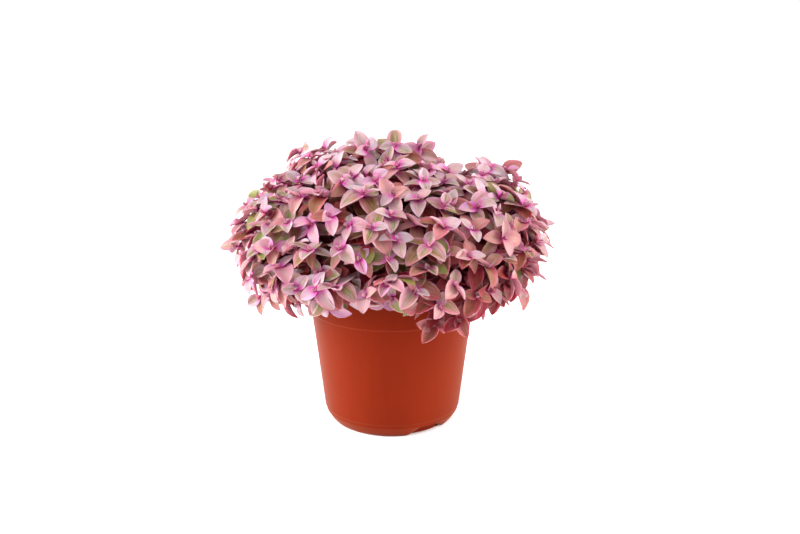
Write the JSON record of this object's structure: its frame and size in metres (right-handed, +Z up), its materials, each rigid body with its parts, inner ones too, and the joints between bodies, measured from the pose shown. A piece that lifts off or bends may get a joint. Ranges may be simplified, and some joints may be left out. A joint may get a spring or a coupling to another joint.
{
  "type": "turtle vine in a plastic pot",
  "caption": "Rounded, trailing turtle vine with small pointed pink and green leaves, in a tapered terracotta-coloured plastic nursery pot filled with soil.",
  "frame": {"origin": "centre of the pot's footprint, on the surface that it stands on; the pot's axis passes through it", "axes": "+Z up along the pot's axis; -Y towards the viewer of the picture, where the foliage hangs least low"},
  "size_m": [0.2447, 0.2228, 0.2121],
  "materials": {
    "pot_plastic": "satin",
    "soil": "matte",
    "foliage": "satin"
  },
  "bodies": {
    "root": {"pot": "pot_plastic", "potting_soil": "soil", "leafy_stem_01": "foliage", "leafy_stem_02": "foliage", "leafy_stem_03": "foliage", "leafy_stem_04": "foliage", "leafy_stem_05": "foliage", "leafy_stem_06": "foliage", "leafy_stem_07": "foliage", "leafy_stem_08": "foliage", "leafy_stem_09": "foliage", "leafy_stem_10": "foliage", "leafy_stem_11": "foliage", "leafy_stem_12": "foliage", "leafy_stem_13": "foliage", "leafy_stem_14": "foliage", "leafy_stem_15": "foliage", "leafy_stem_16": "foliage", "leafy_stem_17": "foliage", "leafy_stem_18": "foliage", "leafy_stem_19": "foliage", "leafy_stem_20": "foliage", "leafy_stem_21": "foliage", "leafy_stem_22": "foliage", "leafy_stem_23": "foliage", "leafy_stem_24": "foliage", "leafy_stem_25": "foliage", "leafy_stem_26": "foliage", "leafy_stem_27": "foliage", "leafy_stem_28": "foliage", "leafy_stem_29": "foliage", "leafy_stem_30": "foliage", "leafy_stem_31": "foliage", "leafy_stem_32": "foliage", "leafy_stem_33": "foliage", "leafy_stem_34": "foliage", "leafy_stem_35": "foliage", "leafy_stem_36": "foliage", "leafy_stem_37": "foliage", "leafy_stem_38": "foliage", "leafy_stem_39": "foliage", "leafy_stem_40": "foliage", "leafy_stem_41": "foliage", "leafy_stem_42": "foliage"}
  },
  "joints": []
}
